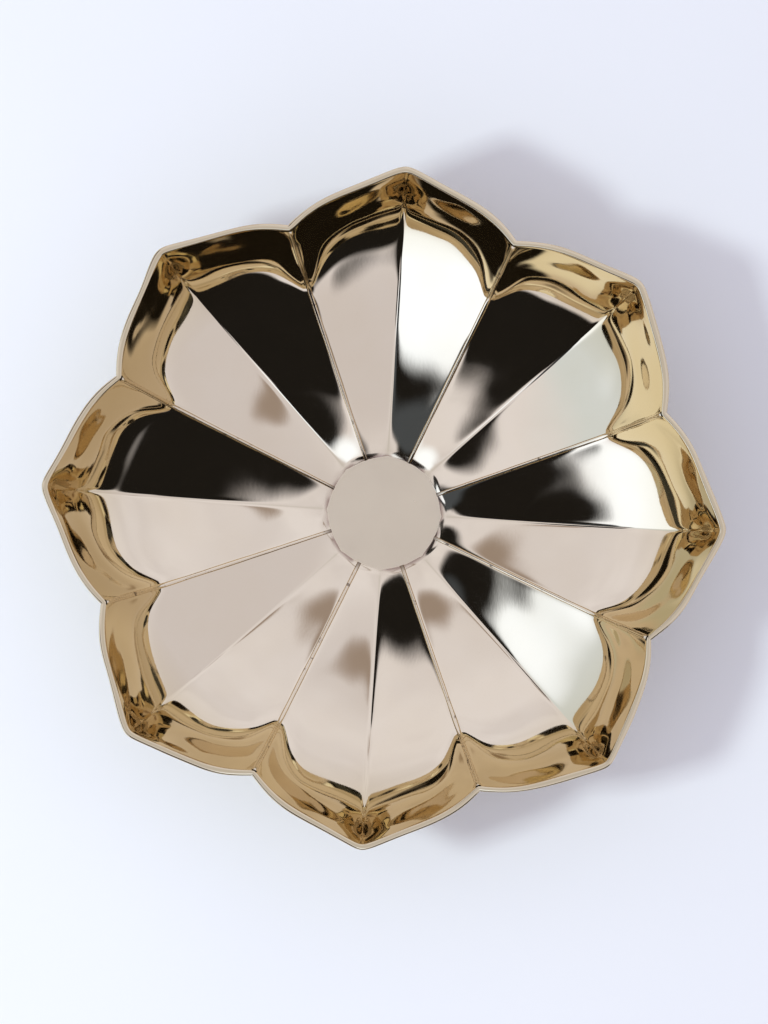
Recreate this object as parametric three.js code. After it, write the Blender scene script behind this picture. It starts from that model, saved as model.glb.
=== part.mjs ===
// A brass lotus urli bowl: eight folded petals brazed edge to edge along raised ribs, round a flat base disc,
// on a low foot ring. Millimetres, +Z up. The origin is on the table, under the middle of the bowl.
import * as THREE from "three";

// Driving dimensions
const PETALS = 8;
const TIP_RADIUS = 150; // from the middle of the bowl to a petal's tip
const NOTCH_RATIO = 0.866; // notch radius as a share of the tip radius
const RIM_SWING = 0.045; // how far the rim bends in near the tip and out near the notch
const HEIGHT = 68;
const SHEET = 2.3; // thickness of the brass sheet
const DISC_RADIUS = 24;
const DISC_TOP = 8.2; // height of the bowl's inside floor
const RIB_WIDTH = 2.2;
const RIB_RISE = 1.1; // how far a rib stands above the petals that it joins
const RIB_CROWN = [0, 40, 70, 110, 140, 180]; // corners of a rib's rounded top, in degrees round its section
const RIB_START = 0.01; // where a rib begins, as a share of the way from the base to the rim
const BASE_SEAM_WIDTH = 1.8;
const BASE_SEAM_RISE = 0.3;
const FOOT_RADIUS = 48; // outside
const FOOT_SHEET = 3;
const FOOT_FILLET = 2; // legs of the braze fillet outside the foot ring
const GAP = 0.15; // brazing gap on each side of a seam
const FOOT_GAP = 0.3;

// The petal's radial section leaves the base at a low slope and ends nearly upright at the rim. Along the fold the
// floor is flatter and the wall steeper than along a rib, so each half of a petal is a slanting facet that curls up
// at the rim. Each value is [at the fold, at the rib].
const FLOOR_SLOPE = [4.7, 16.8]; // degrees
const FLOOR_REACH = [120, 96]; // handle length of the section's curve at the floor
const FACET_CROWN = 0.14; // how much a facet bulges between its fold and its rib
const WALL_SLOPE = [66, 53]; // degrees
const WALL_REACH = [27, 45]; // handle length of the section's curve at the rim
const WALL_TURN = 3; // above 1, the wall keeps the fold's shape over most of a petal and changes near the rib

// Mesh density
const COLUMNS = 7; // in half a petal
const ROWS = 14; // from the base to the rim
const LATHE_STEPS = 64;
const SEARCH_STEPS = 30; // halvings in the search for the underside at a radius

const HALF_PETAL = Math.PI / PETALS; // angle from a petal's fold to its rib
const PETAL_START = DISC_RADIUS + BASE_SEAM_WIDTH + 2 * GAP;
const bowl = new THREE.Group();

function brass(color, roughness) {
  return new THREE.MeshStandardMaterial({ color, roughness, metalness: 1 });
}

const PETAL_BRASS = brass(0xe6cf9c, 0.08);
const SEAM_BRASS = brass(0xd8bd84, 0.18);
const DISC_BRASS = brass(0xe3cc9b, 0.14);
const FOOT_BRASS = brass(0xd9c08a, 0.2);

// Outside radius of the rim. Share runs from 0 at a petal's tip to 1 at its notch.
function rimRadius(share) {
  const swing = RIM_SWING * Math.sin(2 * Math.PI * share);
  return TIP_RADIUS * (1 - (1 - NOTCH_RATIO) * (share + swing));
}

function between([atFold, atRib], share) {
  return atFold + (atRib - atFold) * share;
}

function direction(degrees) {
  const angle = THREE.MathUtils.degToRad(degrees);
  return new THREE.Vector2(Math.cos(angle), Math.sin(angle));
}

// The petal's inside surface in a radial plane, as a curve of (radius, height).
function insideSection(share) {
  const floorShare = share + FACET_CROWN * share * (1 - share);
  const wallShare = share ** WALL_TURN;
  const floor = direction(between(FLOOR_SLOPE, floorShare));
  const wall = direction(between(WALL_SLOPE, wallShare));
  const start = new THREE.Vector2(PETAL_START, DISC_TOP);
  const end = new THREE.Vector2(rimRadius(share) - SHEET * wall.y, HEIGHT);
  return new THREE.CubicBezierCurve(
    start,
    start.clone().addScaledVector(floor, between(FLOOR_REACH, floorShare)),
    end.clone().addScaledVector(wall, -between(WALL_REACH, wallShare)),
    end,
  );
}

// A point at a distance from the inside surface, square to the section. Positive is into the sheet.
function sectionPoint(share, along, depth) {
  const curve = insideSection(share);
  const tangent = curve.getTangent(along);
  const point = curve.getPoint(along);
  return new THREE.Vector2(point.x + tangent.y * depth, point.y - tangent.x * depth);
}

// Height of the petals' underside at a radius, in the radial plane at an angle.
function undersideHeight(radius, angle) {
  const turned = THREE.MathUtils.euclideanModulo(angle + HALF_PETAL, 2 * HALF_PETAL);
  const share = Math.abs(turned - HALF_PETAL) / HALF_PETAL;
  let low = 0;
  let high = 1;
  for (let step = 0; step < SEARCH_STEPS; step++) {
    const middle = (low + high) / 2;
    if (sectionPoint(share, middle, SHEET).x < radius) low = middle;
    else high = middle;
  }
  return sectionPoint(share, low, SHEET).y;
}

function polar(radius, angle, height) {
  return new THREE.Vector3(radius * Math.cos(angle), radius * Math.sin(angle), height);
}

// Joins a row of equal loops of points into one closed solid. A loop's points go round so that its faces turn
// outwards, and its first half lies opposite its second, which is how the two end faces are filled.
function loft(loops, ring = false) {
  const count = loops[0].length;
  const index = [];
  const spans = ring ? loops.length : loops.length - 1;
  const quad = (a, b, c, d) => index.push(a, b, c, a, c, d);
  for (let span = 0; span < spans; span++) {
    const here = span * count;
    const next = ((span + 1) % loops.length) * count;
    for (let i = 0; i < count; i++) {
      const j = (i + 1) % count;
      quad(here + i, here + j, next + j, next + i);
    }
  }
  if (!ring) {
    const last = (loops.length - 1) * count;
    for (let i = 0; i < count / 2 - 1; i++) {
      const opposite = count - 1 - i;
      quad(i, opposite, opposite - 1, i + 1);
      quad(last + i, last + i + 1, last + opposite - 1, last + opposite);
    }
  }
  const geometry = new THREE.BufferGeometry();
  geometry.setFromPoints(loops.flat());
  geometry.setIndex(index);
  geometry.computeVertexNormals();
  return geometry;
}

function addPart(name, geometry, material, turn = 0) {
  const mesh = new THREE.Mesh(geometry, material);
  mesh.name = name;
  mesh.rotation.z = turn;
  bowl.add(mesh);
}

// One petal with its fold along +X. Its two side edges stand clear of the ribs by half a rib and a brazing gap.
function petalGeometry() {
  const clear = RIB_WIDTH / 2 + GAP;
  const loops = [];
  for (let column = -COLUMNS; column <= COLUMNS; column++) {
    const share = Math.abs(column) / COLUMNS;
    const place = (point) => {
      const angle = (column / COLUMNS) * (HALF_PETAL - Math.asin(clear / point.x));
      return polar(point.x, angle, point.y);
    };
    const inside = [];
    const outside = [];
    for (let row = 0; row <= ROWS; row++) {
      inside.push(sectionPoint(share, row / ROWS, 0));
      outside.push(sectionPoint(share, row / ROWS, SHEET));
    }
    outside[ROWS].y = HEIGHT; // the lip is flat on top
    loops.push([...inside, ...outside.reverse()].map(place));
  }
  return loft(loops);
}

// The rib between two petals: a bar as deep as the sheet, with a rounded top that stands inside the bowl.
function ribGeometry() {
  const half = RIB_WIDTH / 2;
  const crown = RIB_CROWN.map((degrees) => direction(degrees));
  const section = [
    { side: half, depth: SHEET },
    ...crown.map(({ x, y }) => ({ side: half * x, depth: -RIB_RISE * y })),
    { side: -half, depth: SHEET },
  ];
  const loops = [];
  for (let row = 0; row <= ROWS; row++) {
    const along = Math.max(row / ROWS, RIB_START);
    const atRim = row === ROWS;
    const loop = section.map(({ side, depth }) => {
      const point = sectionPoint(1, along, depth);
      const height = atRim && depth > 0 ? HEIGHT : Math.min(point.y, HEIGHT);
      return new THREE.Vector3(point.x, side, height);
    });
    loops.push(loop);
  }
  return loft(loops);
}

// A flat disc, turned about the bowl's axis.
function discGeometry() {
  const top = DISC_TOP;
  const bottom = DISC_TOP - SHEET;
  const profile = [
    new THREE.Vector2(0, bottom),
    new THREE.Vector2(DISC_RADIUS, bottom),
    new THREE.Vector2(DISC_RADIUS, top),
    new THREE.Vector2(0, top),
  ];
  return new THREE.LatheGeometry(profile, LATHE_STEPS).rotateX(Math.PI / 2);
}

// A ring whose section may change on the way round. sectionAt gives its (radius, height) points at an angle.
function ringGeometry(sectionAt) {
  const loops = [];
  for (let step = 0; step < LATHE_STEPS; step++) {
    const angle = (step / LATHE_STEPS) * 2 * Math.PI;
    loops.push(sectionAt(angle).map(([radius, height]) => polar(radius, angle, height)));
  }
  return loft(loops, true);
}

function baseSeamSection() {
  const inner = DISC_RADIUS + GAP;
  const outer = inner + BASE_SEAM_WIDTH;
  const bottom = DISC_TOP - SHEET;
  return [
    [inner, bottom],
    [inner, DISC_TOP],
    [(inner + outer) / 2, DISC_TOP + BASE_SEAM_RISE],
    [outer, DISC_TOP],
    [outer, bottom],
  ];
}

function footSection(angle) {
  const inner = FOOT_RADIUS - FOOT_SHEET;
  return [
    [inner, 0],
    [inner, undersideHeight(inner, angle) - FOOT_GAP],
    [FOOT_RADIUS, undersideHeight(FOOT_RADIUS, angle) - FOOT_GAP],
    [FOOT_RADIUS, 0],
  ];
}

// A three-cornered fillet in the angle between the foot ring's outside and the petals' underside.
function footFilletSection(angle) {
  const inner = FOOT_RADIUS + GAP;
  const outer = inner + FOOT_FILLET;
  const top = undersideHeight(inner, angle) - FOOT_GAP;
  return [
    [inner, top - FOOT_FILLET],
    [inner, top],
    [outer, undersideHeight(outer, angle) - FOOT_GAP],
  ];
}

const petal = petalGeometry();
const rib = ribGeometry();
for (let number = 1; number <= PETALS; number++) {
  const turn = (number - 1) * 2 * HALF_PETAL;
  addPart("petal_" + number, petal, PETAL_BRASS, turn);
  addPart("rib_seam_" + number, rib, SEAM_BRASS, turn + HALF_PETAL);
}
addPart("base_disc", discGeometry(), DISC_BRASS);
addPart("base_seam", ringGeometry(baseSeamSection), SEAM_BRASS);
addPart("foot_ring", ringGeometry(footSection), FOOT_BRASS);
addPart("foot_seam", ringGeometry(footFilletSection), SEAM_BRASS);

export default bowl;
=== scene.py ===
"""A polished brass lotus bowl on a pale floor, seen from straight above in soft studio light.

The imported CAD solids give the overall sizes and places. Each faceted solid is replaced by a fine mesh of the
same piece: folded petals with rounded lips, rib beads, the base disc and its braze ring, and the foot ring.
Everything is in metres, in the CAD frame: +Z up, petal_1's fold along +X.
"""

import math

import bpy
import numpy as np
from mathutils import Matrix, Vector, noise


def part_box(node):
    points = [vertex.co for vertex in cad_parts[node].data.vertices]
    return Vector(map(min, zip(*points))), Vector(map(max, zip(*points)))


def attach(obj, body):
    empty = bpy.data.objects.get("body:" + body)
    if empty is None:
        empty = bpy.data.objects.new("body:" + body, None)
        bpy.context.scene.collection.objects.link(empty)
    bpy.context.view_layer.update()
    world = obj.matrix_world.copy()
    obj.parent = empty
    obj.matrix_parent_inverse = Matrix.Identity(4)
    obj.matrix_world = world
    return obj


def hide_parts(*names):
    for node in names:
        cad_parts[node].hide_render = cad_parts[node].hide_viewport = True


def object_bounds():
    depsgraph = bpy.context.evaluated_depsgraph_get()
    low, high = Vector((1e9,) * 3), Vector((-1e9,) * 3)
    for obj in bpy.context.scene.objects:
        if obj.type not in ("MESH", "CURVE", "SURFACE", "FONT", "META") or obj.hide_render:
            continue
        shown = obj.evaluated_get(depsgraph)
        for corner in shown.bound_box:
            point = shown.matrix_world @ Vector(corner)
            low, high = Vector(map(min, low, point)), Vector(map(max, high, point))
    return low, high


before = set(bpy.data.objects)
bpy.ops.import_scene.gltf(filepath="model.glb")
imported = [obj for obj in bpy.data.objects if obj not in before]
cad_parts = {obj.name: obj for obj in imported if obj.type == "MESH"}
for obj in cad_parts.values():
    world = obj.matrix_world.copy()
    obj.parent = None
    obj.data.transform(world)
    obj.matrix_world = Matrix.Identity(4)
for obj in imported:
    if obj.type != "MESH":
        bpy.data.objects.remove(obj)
cad_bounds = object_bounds()

MM = 0.001
PETALS = 8
HALF_PETAL = math.pi / PETALS

# Sizes that the CAD solids hold
TIP_RADIUS = cad_bounds[1].x
HEIGHT = cad_bounds[1].z
DISC_LOW, DISC_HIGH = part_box("base_disc")
DISC_RADIUS = DISC_HIGH.x
DISC_TOP = DISC_HIGH.z
SHEET = DISC_HIGH.z - DISC_LOW.z
PETAL_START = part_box("base_seam")[1].x - 1.3 * MM  # the petals lap over the seam
FOOT_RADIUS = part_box("foot_ring")[1].x
FOOT_SHEET = 3 * MM
FOOT_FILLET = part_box("foot_seam")[1].x - FOOT_RADIUS

# The bowl's outline and its radial section, as in the CAD. Pairs are [at a petal's fold, at a rib].
NOTCH_RATIO = 0.866
RIM_SWING = 0.045
FACET_CROWN = 0.14
FLOOR_SLOPE = (4.7, 16.8)
FLOOR_REACH = (120 * MM, 96 * MM)
WALL_SLOPE = (66, 53)
WALL_REACH = (27 * MM, 45 * MM)
WALL_TURN = 3.0

# Hand finish
FOLD_SOFTNESS = 0.45 * MM
FOLD_OPENING = 4.0  # how many times softer the fold gets at the tip
RIDGE_SOFTNESS = 0.9 * MM
LIP_SQUARENESS = 3.2
LIP_CROWN = 0.8 * MM  # how far the lip's top bulges up from the sheet's end
LIP_LEVEL = 0.85  # 0 leaves the lip square to the wall, 1 makes its top level
RIB_HALF_WIDTH = 1.1 * MM
RIB_RISE = 0.75 * MM
TOE_RISE = (0.08 * MM, 0.4 * MM)  # height of the petals' base edge above the disc, at a fold and at a rib
TOE_LENGTH = 0.007  # as a share of the way from the base to the rim
TOE_WANDER = 0.005  # how unevenly the toe starts
TOE_FADE = 0.13  # where the lift at the ribs has died away
RIB_PULL = 1.5 * MM  # how far the sheet rises towards a rib where the wall curls up
FOLD_PULL = 0.7 * MM
PULL_REACH = 5.5 * MM
LIP_SWELL = 0.3  # how much thicker the lip is than the sheet
POLISH_MARKS = 0.12  # strength of the fine marks
RIB_WANDER = 0.16  # how unevenly wide and high a rib is

# Dents of the sheet: wavelength, depth and noise seed
SLOW_DENTS = (38 * MM, 0.36 * MM, 1)
QUICK_DENTS = (14 * MM, 0.06 * MM, 2)
WALL_DENTS = ((25 * MM, 0.80 * MM, 3), (12 * MM, 0.10 * MM, 10), (8 * MM, 0.015 * MM, 4))

# Mesh density
HALF_COLUMNS = 44
ROWS = 120
LIP_STEPS = 12


def mix(pair, share):
    return pair[0] + (pair[1] - pair[0]) * share


def ease(value):
    """0 below 0, 1 above 1 and a smooth step between."""
    value = np.clip(value, 0, 1)
    return value * value * (3 - 2 * value)


def fold_share(angle, radius):
    """0 at a petal's fold and 1 at a rib, with both lines softened to their real radius."""
    across = np.abs((angle + HALF_PETAL) % (2 * HALF_PETAL) - HALF_PETAL) * radius
    width = HALF_PETAL * radius
    softness = FOLD_SOFTNESS * (1 + FOLD_OPENING * (radius / TIP_RADIUS) ** 8)
    from_fold = np.sqrt(across**2 + softness**2) - softness * 0.5
    from_rib = np.sqrt((width - across) ** 2 + RIDGE_SOFTNESS**2)
    return from_fold / (from_fold + from_rib)


def rim_radius(share):
    swing = RIM_SWING * np.sin(2 * math.pi * share)
    return TIP_RADIUS * (1 - (1 - NOTCH_RATIO) * (share + swing))


def toe(angle, along, share):
    """The rounded, uneven edge where the petals' sheet begins. It stands highest beside the ribs."""
    around = np.stack([np.cos(angle), np.sin(angle), 0 * angle], -1) * DISC_RADIUS
    start = TOE_WANDER * (0.5 + noise_at(around, 7 * MM, 9))
    rise = TOE_RISE[0] + (TOE_RISE[1] - TOE_RISE[0]) * share * (1 - ease(along / TOE_FADE))
    return rise * ease((along - start) / TOE_LENGTH)


def pulls(angle, along, radius):
    """How far the sheet rises beside a rib and beside a fold, where it curls up to the rim."""
    across = np.abs((angle + HALF_PETAL) % (2 * HALF_PETAL) - HALF_PETAL) * radius
    beside_rib = np.exp(-(((HALF_PETAL * radius - across) / PULL_REACH) ** 2))
    beside_fold = np.exp(-((across / PULL_REACH) ** 2))
    at_rib = ease((along - 0.5) / 0.2) * (1 - ease((along - 0.72) / 0.25))
    at_fold = ease((along - 0.62) / 0.2) * (1 - ease((along - 0.8) / 0.2))
    return RIB_PULL * beside_rib * at_rib + FOLD_PULL * beside_fold * at_fold


def smooth_inside(angle, along):
    """The petals' inside before any dents, at polar angles and shares of the way from base to rim."""
    rough_radius = mix((PETAL_START, TIP_RADIUS), along)
    share = fold_share(angle, rough_radius)
    floor_share = share + FACET_CROWN * share * (1 - share)
    wall_share = share**WALL_TURN
    floor = np.radians(mix(FLOOR_SLOPE, floor_share))
    wall = np.radians(mix(WALL_SLOPE, wall_share))
    start_r, start_z = PETAL_START, DISC_TOP
    end_r = rim_radius(share) - SHEET / 2 * (1 + np.sin(wall))
    end_z = HEIGHT - SHEET / 2 * (1 - np.cos(wall))
    floor_reach = mix(FLOOR_REACH, floor_share)
    wall_reach = mix(WALL_REACH, wall_share)
    t = along
    first, second, third, fourth = (1 - t) ** 3, 3 * t * (1 - t) ** 2, 3 * t * t * (1 - t), t**3
    radius = first * start_r + second * (start_r + floor_reach * np.cos(floor))
    radius = radius + third * (end_r - wall_reach * np.cos(wall)) + fourth * end_r
    height = first * start_z + second * (start_z + floor_reach * np.sin(floor))
    height = height + third * (end_z - wall_reach * np.sin(wall)) + fourth * end_z
    height = height + toe(angle, along, share) + pulls(angle, along, radius)
    return np.stack([radius * np.cos(angle), radius * np.sin(angle), height], -1)


def unit(vectors):
    return vectors / np.linalg.norm(vectors, axis=-1, keepdims=True)


def into_sheet(surface, angle, along):
    """Unit normals of a surface function that point from the bowl's inside into its sheet."""
    turn, step = 2e-3, 5e-4
    across = surface(angle + turn, along) - surface(angle - turn, along)
    upward = surface(angle, np.minimum(along + step, 1)) - surface(angle, np.maximum(along - step, 0))
    return unit(np.cross(across, upward))


def noise_at(points, wavelength, seed):
    """Smooth noise between about -1 and 1 at an array of points."""
    flat = points.reshape(-1, 3) / wavelength
    offset = Vector((seed * 17.3, seed * 5.1, seed * 9.7))
    values = [noise.noise(Vector(point) + offset) for point in flat.tolist()]
    return np.array(values).reshape(points.shape[:-1])


def dents(points, along):
    """How far hand forming pushed the sheet, in metres. It fades out at the base and is calmer at the lip."""

    def layer(wavelength, depth, seed):
        return noise_at(points, wavelength, seed) * depth

    wall = ease((along - 0.45) / 0.3)
    fade = ease(along / 0.12) * (1 - 0.6 * ease((along - 0.88) / 0.12))
    on_wall = sum(layer(*dent) for dent in WALL_DENTS) * wall
    return (layer(*SLOW_DENTS) + layer(*QUICK_DENTS) + on_wall) * fade


def inside(angle, along):
    points = smooth_inside(angle, along)
    normals = into_sheet(smooth_inside, angle, along)
    return points + normals * dents(points, along)[..., None]


def mesh_object(name, points, loops_close=False, rows_close=False):
    """A mesh from a grid of points, one row after another. Either way round may close on itself."""
    rows, columns = points.shape[:2]
    number = np.arange(rows * columns).reshape(rows, columns)
    if rows_close:
        number = np.concatenate([number, number[:1]], 0)
    if loops_close:
        number = np.concatenate([number, number[:, :1]], 1)
    quads = np.stack([number[:-1, :-1], number[:-1, 1:], number[1:, 1:], number[1:, :-1]], -1)
    mesh = bpy.data.meshes.new(name)
    mesh.from_pydata(points.reshape(-1, 3).tolist(), [], quads.reshape(-1, 4).tolist())
    mesh.polygons.foreach_set("use_smooth", [True] * len(mesh.polygons))
    mesh.update()
    piece = bpy.data.objects.new(name, mesh)
    bpy.context.scene.collection.objects.link(piece)
    return piece


def finish_piece(piece, material, slot, *nodes):
    piece.data.materials.append(material)
    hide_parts(*nodes)
    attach(piece, "root")


# ---------------------------------------------------------------- materials


SOIL = (0.10, 0.06, 0.035)
FRINGE = (0.30, 0.19, 0.12)
WALL_PAINTED_SHADE_RADII = (112 * MM, 128 * MM)  # radii between which painted shade deepens the petals' colour on the wall
DULL_EDGE = (DISC_RADIUS + 1 * MM, DISC_RADIUS + 5 * MM)  # radii between which the dull base brightens
FRINGE_EDGE = (DISC_RADIUS + 1.3 * MM, DISC_RADIUS + 3 * MM)


class Nodes:
    """Short ways to add and join the nodes of one material."""

    def __init__(self, material):
        self.tree = material.node_tree
        self.shader = self.tree.nodes["Principled BSDF"]
        coordinates = self.tree.nodes.new("ShaderNodeTexCoord")
        self.place = coordinates.outputs["Object"]

    def add(self, kind, **settings):
        node = self.tree.nodes.new(kind)
        for name, value in settings.items():
            setattr(node, name, value)
        return node

    def link(self, source, target):
        self.tree.links.new(source, target)

    def noise(self, scale, detail=2.0, stretch=None):
        """A noise texture in the CAD frame. Scale is in waves per metre."""
        texture = self.add("ShaderNodeTexNoise")
        texture.inputs["Scale"].default_value = scale
        texture.inputs["Detail"].default_value = detail
        if stretch is None:
            self.link(self.place, texture.inputs["Vector"])
        else:
            mapping = self.add("ShaderNodeMapping")
            mapping.inputs["Scale"].default_value = stretch
            self.link(self.place, mapping.inputs["Vector"])
            self.link(mapping.outputs["Vector"], texture.inputs["Vector"])
        return texture.outputs["Fac"]

    def span(self, value, low, high, start=0.3, end=0.7):
        """Maps a value's range from start..end to low..high."""
        node = self.add("ShaderNodeMapRange")
        node.inputs["From Min"].default_value = start
        node.inputs["From Max"].default_value = end
        node.inputs["To Min"].default_value = low
        node.inputs["To Max"].default_value = high
        self.link(value, node.inputs["Value"])
        return node.outputs["Result"]

    def blend(self, factor, first, second):
        """Mixes two colours, each an RGB tuple or a socket."""
        node = self.add("ShaderNodeMix", data_type="RGBA")
        self.link(factor, node.inputs["Factor"])
        for socket, colour in ((node.inputs[6], first), (node.inputs[7], second)):
            if isinstance(colour, tuple):
                socket.default_value = (*colour, 1)
            else:
                self.link(colour, socket)
        return node.outputs[2]

    def combine(self, operation, first, second):
        """Adds or multiplies two values."""
        node = self.add("ShaderNodeMath", operation=operation)
        self.link(first, node.inputs[0])
        self.link(second, node.inputs[1])
        return node.outputs["Value"]

    def axis_distance(self):
        """Distance from the bowl's axis."""
        flat = self.add("ShaderNodeVectorMath", operation="MULTIPLY")
        self.link(self.place, flat.inputs[0])
        flat.inputs[1].default_value = (1, 1, 0)
        length = self.add("ShaderNodeVectorMath", operation="LENGTH")
        self.link(flat.outputs["Vector"], length.inputs[0])
        return length.outputs["Value"]

    def bump(self, height, strength, distance):
        node = self.add("ShaderNodeBump")
        node.inputs["Strength"].default_value = strength
        node.inputs["Distance"].default_value = distance
        self.link(height, node.inputs["Height"])
        return node.outputs["Normal"]


def brass(name, light, deep, roughness, soil=0.0, base_soil=0.0, fringe=0.0, wall=None):
    """Polished brass: colour drifting between two tones, cloudy polish, fine marks and dark soil in pits.

    The polish is duller near the disc, where the wheel doesn't reach. A seam may be soiled there, and a petal
    may have a broken brown fringe there. A petal's wall may also get a deeper colour: painted shade that
    stands in for the darker reflections the walls throw on each other.
    """
    material = bpy.data.materials.new(name)
    material.use_nodes = True
    nodes = Nodes(material)
    shader = nodes.shader
    shader.inputs["Metallic"].default_value = 1.0
    drift = nodes.span(nodes.noise(28, 3), 0, 1)
    colour = nodes.blend(drift, light, deep)
    cloud = nodes.span(nodes.noise(90, 4), roughness * 0.7, roughness * 1.4)
    if soil:
        pits = nodes.span(nodes.noise(260, 3), 0, soil, 0.62, 0.70)
        colour = nodes.blend(pits, colour, SOIL)
    radius = nodes.axis_distance()
    if base_soil:
        near = nodes.span(radius, base_soil, 0, *DULL_EDGE)
        colour = nodes.blend(near, colour, SOIL)
    if fringe:
        near = nodes.span(radius, fringe, 0, *FRINGE_EDGE)
        patches = nodes.span(nodes.noise(75, 2), 0, 1, 0.47, 0.57)
        colour = nodes.blend(nodes.combine("MULTIPLY", near, patches), colour, FRINGE)
    # Painted shade: the wall's deeper colour stands in for the darker reflections that the walls throw on each
    # other.
    if wall:
        colour = nodes.blend(nodes.span(radius, 0, 1, *WALL_PAINTED_SHADE_RADII), colour, wall)
    dull = nodes.span(radius, 0.13, 0, *DULL_EDGE)
    nodes.link(colour, shader.inputs["Base Color"])
    nodes.link(nodes.combine("ADD", cloud, dull), shader.inputs["Roughness"])
    fine = nodes.bump(nodes.noise(900, 2, (1.0, 0.25, 1.0)), POLISH_MARKS, 0.02 * MM)
    nodes.link(fine, shader.inputs["Normal"])
    return material


# The petals' wall colour is painted shade for the walls' darker reflections of each other.
PETAL_BRASS_AND_PAINTED_SHADE = brass("petal_brass", (0.72, 0.585, 0.36), (0.70, 0.56, 0.335), 0.045, fringe=0.85,
                    wall=(0.64, 0.50, 0.275))
SEAM_BRASS = brass("seam_brass", (0.72, 0.58, 0.355), (0.66, 0.51, 0.29), 0.12, soil=0.7,
                   base_soil=0.75)
DISC_BRASS = brass("disc_brass", (0.72, 0.58, 0.355), (0.70, 0.56, 0.34), 0.20)
FOOT_BRASS = brass("foot_brass", (0.70, 0.55, 0.33), (0.64, 0.49, 0.28), 0.28)


# ---------------------------------------------------------------- pieces of the bowl


def petal(number):
    """One petal: its inside, the rounded lip and its outside, as one skin from the base round to the base."""
    middle = (number - 1) * 2 * HALF_PETAL
    # Columns crowd towards the fold, where the surface turns sharply.
    spread = np.linspace(-1, 1, 2 * HALF_COLUMNS + 1)
    angle = middle + HALF_PETAL * np.sign(spread) * np.abs(spread) ** 1.3
    toe_end = 1.5 * TOE_LENGTH
    along = np.concatenate([np.linspace(0, toe_end, 9)[:-1], np.linspace(toe_end, 1, ROWS)])
    angle, along = np.meshgrid(angle, along)
    inner = inside(angle, along)
    normals = into_sheet(smooth_inside, angle, along)
    swell = LIP_SWELL * ease((along - 0.95) / 0.05) * (1 + noise_at(inner, 22 * MM, 6))
    outer = inner + normals * (SHEET * (1 + swell))[..., None]
    centre = (inner[-1] + outer[-1]) / 2
    across = (outer[-1] - inner[-1]) / 2
    drop = inner[-1, :, 2] - outer[-1, :, 2]
    upward = unit(unit(inner[-1] - inner[-3]) + np.array([0, 0, 1.5]))
    lip = []
    for step in range(1, LIP_STEPS):
        turn = math.pi * step / LIP_STEPS
        power = 2 / LIP_SQUARENESS
        side = -math.copysign(abs(math.cos(turn)) ** power, math.cos(turn))
        rise = math.sin(turn) ** power
        row = centre + across * side + upward * rise * LIP_CROWN
        row[:, 2] += drop * (1 + side) / 2 * LIP_LEVEL
        lip.append(row)
    skin = np.concatenate([inner, np.array(lip), outer[::-1]], 0)
    piece = mesh_object(f"petal_{number}_formed", skin, rows_close=True)
    finish_piece(piece, PETAL_BRASS_AND_PAINTED_SHADE, "petal_brass", f"petal_{number}")


def rib(number):
    """The braze bead between two petals, from the base to the notch, running right through the sheet."""
    around = np.linspace(0, 2 * math.pi, 28, endpoint=False)
    along = np.linspace(0.0, 1.0, 150)
    middle = (number - 0.5) * 2 * HALF_PETAL
    angle = np.full_like(along, middle)
    ridge = inside(angle, along)
    normals = into_sheet(smooth_inside, angle, along)
    sideways = np.array([-math.sin(middle), math.cos(middle), 0])
    wobble = 1 + RIB_WANDER * noise_at(ridge, 9 * MM, 5)
    widen = 0.75 + 0.35 * along
    half_width = RIB_HALF_WIDTH * wobble * widen
    end = np.sqrt(np.clip(1 - np.clip((along - 0.975) / 0.03, 0, 1) ** 2, 0.02, 1))
    rise = RIB_RISE * wobble * end * np.clip(along / 0.02 + 0.2, 0, 1)
    loops = []
    for turn in around:
        depth = -math.cos(turn) * (rise if math.cos(turn) > 0 else SHEET + 0.3 * MM)
        depth = np.broadcast_to(depth, along.shape)
        loops.append(ridge + normals * depth[:, None] + sideways * (math.sin(turn) * half_width)[:, None])
    points = np.stack(loops, 1)
    piece = mesh_object(f"rib_seam_{number}_bead", points, loops_close=True)
    finish_piece(piece, SEAM_BRASS, "seam_brass", f"rib_seam_{number}")


def turned(name, profile, wander=None, steps=192, closed=False):
    """A ring or disc turned about the bowl's axis from (radius, height) points.

    Wander may shift each point. A ring's profile is closed; a disc's starts and ends on the axis.
    """
    angle = np.linspace(0, 2 * math.pi, steps, endpoint=False)
    radius = np.array([point[0] for point in profile])[None, :].repeat(steps, 0)
    height = np.array([point[1] for point in profile])[None, :].repeat(steps, 0)
    if wander is not None:
        radius, height = wander(angle[:, None], radius, height)
    points = np.stack([radius * np.cos(angle)[:, None], radius * np.sin(angle)[:, None], height], -1)
    return mesh_object(name, points, loops_close=closed, rows_close=True)


def base_disc():
    """The flat disc, a little dished by its polishing."""
    shares = [*np.linspace(0, 0.995, 40), 0.999, 1.0]
    top = [(DISC_RADIUS * s, DISC_TOP - 0.03 * MM * (1 - s * s)) for s in shares]
    bottom = [(DISC_RADIUS * s, DISC_LOW.z) for s in (1.0, 0.75, 0.5, 0.25, 0.0)]
    piece = turned("base_disc_polished", top + bottom)
    finish_piece(piece, DISC_BRASS, "disc_brass", "base_disc")


def base_seam():
    """The braze between the disc and the petals, polished flush and running out under the petals."""
    inner, outer = DISC_RADIUS - 0.1 * MM, PETAL_START + 1.2 * MM
    shares = [0, 0.02, *np.linspace(0.05, 1, 16)]
    top = [(inner + (outer - inner) * s, DISC_TOP + 0.005 * MM + 0.08 * MM * ease(s)) for s in shares]
    bottom = [(outer, DISC_LOW.z - 0.1 * MM), (inner, DISC_LOW.z - 0.1 * MM)]
    piece = turned("base_seam_ring", top + bottom, steps=384, closed=True)
    finish_piece(piece, DISC_BRASS, "seam_brass", "base_seam")


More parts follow.
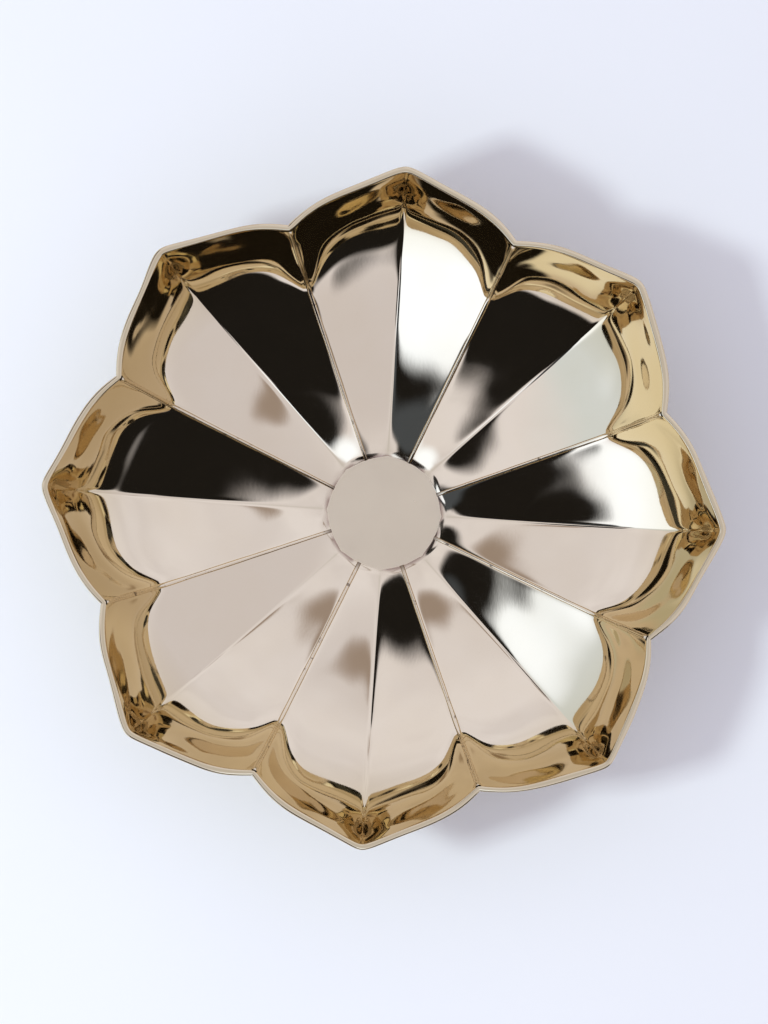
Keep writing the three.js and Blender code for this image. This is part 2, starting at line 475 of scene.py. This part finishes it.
def underside_height(angle, radius):
    """Height of the petals' outside at polar angles and radii."""
    along = np.linspace(0, 1, 160)
    flat_angle, flat_radius = np.broadcast_arrays(angle, radius)
    heights = []
    for one_angle, one_radius in zip(flat_angle.ravel(), flat_radius.ravel()):
        angles = np.full_like(along, one_angle)
        outer = smooth_inside(angles, along) + into_sheet(smooth_inside, angles, along) * SHEET
        heights.append(np.interp(one_radius, np.hypot(outer[:, 0], outer[:, 1]), outer[:, 2]))
    return np.array(heights).reshape(flat_angle.shape)


def foot_ring():
    """A turned ring with rounded edges. Its top follows the petals' underside and runs a little into it."""
    inner, outer, edge = FOOT_RADIUS - FOOT_SHEET, FOOT_RADIUS, 0.6 * MM
    turns = np.linspace(0, math.pi / 2, 6)
    outer_edge = [(outer - edge + edge * math.sin(t), edge - edge * math.cos(t)) for t in turns]
    inner_edge = [(inner + edge - edge * math.sin(t), edge - edge * math.cos(t)) for t in turns[::-1]]
    profile = outer_edge + [(outer, HEIGHT), (inner, HEIGHT)] + inner_edge

    def meet_petals(angle, radius, height):
        top = underside_height(angle, np.full_like(angle, inner)) + 0.5 * MM
        return radius, np.minimum(height, top)

    piece = turned("foot_ring_turned", profile, meet_petals, 256, closed=True)
    finish_piece(piece, FOOT_BRASS, "foot_brass", "foot_ring")


def foot_seam():
    """The braze fillet in the angle between the foot ring and the petals."""
    steps = 256
    angle = np.linspace(0, 2 * math.pi, steps, endpoint=False)
    around = np.stack([np.cos(angle), np.sin(angle), 0 * angle], -1) * FOOT_RADIUS
    size = FOOT_FILLET * (1 + 0.15 * noise_at(around, 7 * MM, 11))
    top = underside_height(angle, np.full_like(angle, FOOT_RADIUS))
    far = underside_height(angle, FOOT_RADIUS + size)

    def loop(radius, height):
        return np.stack([radius * np.cos(angle), radius * np.sin(angle), height], -1)

    loops = []
    for share in np.linspace(0, 1, 9):
        # A concave arc from the ring's side to the underside of the petals.
        out = size * (1 - math.cos(share * math.pi / 2))
        down = size * (1 - math.sin(share * math.pi / 2))
        height = mix((top, far), out / size) - down * 0.9
        loops.append(loop(FOOT_RADIUS + out, height))
    deep = FOOT_RADIUS - 0.5 * MM
    loops.append(loop(deep, top + 0.6 * MM))
    loops.append(loop(deep, top - size))
    piece = mesh_object("foot_seam_fillet", np.stack(loops, 1), loops_close=True, rows_close=True)
    finish_piece(piece, SEAM_BRASS, "seam_brass", "foot_seam")


for number in range(1, PETALS + 1):
    petal(number)
    rib(number)
base_disc()
base_seam()
foot_ring()
foot_seam()


# ---------------------------------------------------------------- studio

STUDIO_TURN = 3.8  # the camera stands this many degrees round from the -Y axis, and the lights with it
CAMERA_ELEVATION = 88.0
CAMERA_DISTANCE = 3.75
LOOK_HEIGHT = 19 * MM
FRAME_HEIGHT = 0.4459  # of the picture, at the rim
SENSOR = 36.0


# What the brass reflects, as light: the pale panels, the window of light, the dark gaps and the ceiling
PANEL = (1.03, 1.13, 1.66)
PANEL_DEEP = (0.93, 1.01, 1.48)
WINDOW = (1.45, 1.80, 2.85)
GREY = (0.88, 1.09, 1.62)
DUSK = (0.84, 0.90, 1.31)
SHADE = (0.085, 0.11, 0.18)
BROWN = (0.44, 0.40, 0.48)
GAP = (0.015, 0.015, 0.018)
CEILING = (0.78, 0.85, 1.19)
AIR = (0.78, 0.75, 0.82)  # the soft light that fills the room and lights the floor

# Round zones laid over the panels in turn: azimuth, angle from the zenith, reach and softness, all in
# degrees, and colour
ZONES = [
    (350, 50, 26, 12, DUSK),
    (188, 74, 34, 6, GREY),
    (209, 62, 24, 10, WINDOW),
    (141, 33, 10.5, 2, GAP),
    (229, 33, 12.5, 2, GAP),
    (193, 34, 9, 2, GAP),
    (209, 31, 8, 2, SHADE),
    (263, 24, 6, 3, WINDOW),
    (283, 63, 23, 2, GAP),
    (256, 55, 19, 2, GAP),
    (300, 56, 15, 2.5, GAP),
    (312, 80, 14, 2.5, GAP),
    (303, 38, 9, 2.5, GAP),
    (100, 41, 3.5, 2, BROWN),
    (116, 41, 3.5, 2, BROWN),
    (72, 38.5, 3.5, 2, BROWN),
    (21, 44, 2.5, 2, BROWN),
    (0, 0, 13, 7, CEILING),
]


def studio_direction(azimuth, elevation):
    """A unit vector. Azimuth is in the picture's own frame: 0 is right, 90 is up."""
    a, e = math.radians(azimuth + STUDIO_TURN), math.radians(elevation)
    return Vector((math.cos(a) * math.cos(e), math.sin(a) * math.cos(e), math.sin(e)))


def camera():
    data = bpy.data.cameras.new("camera")
    data.sensor_width = SENSOR
    data.lens = SENSOR * (CAMERA_DISTANCE - HEIGHT) / FRAME_HEIGHT
    data.clip_start, data.clip_end = 0.1, 60
    thing = bpy.data.objects.new("camera", data)
    bpy.context.scene.collection.objects.link(thing)
    away = studio_direction(-90, CAMERA_ELEVATION)
    thing.location = Vector((0, 0, LOOK_HEIGHT)) + away * CAMERA_DISTANCE
    thing.rotation_mode = "QUATERNION"
    thing.rotation_quaternion = (-away).to_track_quat("-Z", "Y")
    bpy.context.scene.camera = thing


def floor():
    half = 30.0
    corners = [(-half, -half, 0), (half, -half, 0), (half, half, 0), (-half, half, 0)]
    mesh = bpy.data.meshes.new("floor")
    mesh.from_pydata(corners, [], [(0, 1, 2, 3)])
    plane = bpy.data.objects.new("floor", mesh)
    bpy.context.scene.collection.objects.link(plane)
    material = bpy.data.materials.new("pale_paper")
    material.use_nodes = True
    nodes = Nodes(material)
    tone = nodes.span(nodes.noise(3, 2), 0, 1)
    nodes.link(nodes.blend(tone, (0.80, 0.83, 0.88), (0.83, 0.86, 0.91)), nodes.shader.inputs["Base Color"])
    nodes.shader.inputs["Roughness"].default_value = 0.9
    mesh.materials.append(material)


def key_light():
    data = bpy.data.lights.new("key", "AREA")
    data.energy = 9.6
    data.color = (0.88, 0.98, 0.97)
    data.size = 0.22
    lamp = bpy.data.objects.new("key", data)
    bpy.context.scene.collection.objects.link(lamp)
    towards = studio_direction(192, 56)
    lamp.location = towards * 1.5
    lamp.rotation_mode = "QUATERNION"
    lamp.rotation_quaternion = towards.to_track_quat("Z", "Y")
    lamp.visible_glossy = False


def room():
    """The studio as the brass sees it: pale panels, a white window of light and dark gaps, by direction."""
    world = bpy.data.worlds.new("studio")
    bpy.context.scene.world = world
    world.use_nodes = True
    tree = world.node_tree
    background = tree.nodes["Background"]
    direction = tree.nodes.new("ShaderNodeTexCoord").outputs["Generated"]

    def zone(base, azimuth, zenith, reach, soft, colour):
        """Lays a round zone of colour over the base, centred at an azimuth and an angle from the zenith."""
        dot = tree.nodes.new("ShaderNodeVectorMath")
        dot.operation = "DOT_PRODUCT"
        dot.inputs[1].default_value = studio_direction(azimuth, 90 - zenith)
        tree.links.new(direction, dot.inputs[0])
        edge = tree.nodes.new("ShaderNodeMapRange")
        edge.interpolation_type = "SMOOTHSTEP"
        edge.inputs["From Min"].default_value = math.cos(math.radians(reach + soft))
        edge.inputs["From Max"].default_value = math.cos(math.radians(max(reach - soft, 0)))
        tree.links.new(dot.outputs["Value"], edge.inputs["Value"])
        mixer = tree.nodes.new("ShaderNodeMix")
        mixer.data_type = "RGBA"
        tree.links.new(edge.outputs["Result"], mixer.inputs["Factor"])
        tree.links.new(base, mixer.inputs[6])
        mixer.inputs[7].default_value = (*colour, 1)
        return mixer.outputs[2]

    folds = tree.nodes.new("ShaderNodeTexNoise")
    folds.inputs["Scale"].default_value = 3.5
    tree.links.new(direction, folds.inputs["Vector"])
    tone = tree.nodes.new("ShaderNodeMapRange")
    tone.inputs["From Min"].default_value, tone.inputs["From Max"].default_value = 0.4, 0.65
    tree.links.new(folds.outputs["Fac"], tone.inputs["Value"])
    panels = tree.nodes.new("ShaderNodeMix")
    panels.data_type = "RGBA"
    tree.links.new(tone.outputs["Result"], panels.inputs["Factor"])
    panels.inputs[6].default_value = (*PANEL, 1)
    panels.inputs[7].default_value = (*PANEL_DEEP, 1)
    seen = panels.outputs[2]
    for azimuth, zenith, reach, soft, colour in ZONES:
        seen = zone(seen, azimuth, zenith, reach, soft, colour)
    rays = tree.nodes.new("ShaderNodeLightPath")
    final = tree.nodes.new("ShaderNodeMix")
    final.data_type = "RGBA"
    tree.links.new(rays.outputs["Is Glossy Ray"], final.inputs["Factor"])
    final.inputs[6].default_value = (*AIR, 1)
    tree.links.new(seen, final.inputs[7])
    tree.links.new(final.outputs[2], background.inputs["Color"])


camera()
floor()
key_light()
room()
bpy.context.scene.view_settings.view_transform = "Standard"
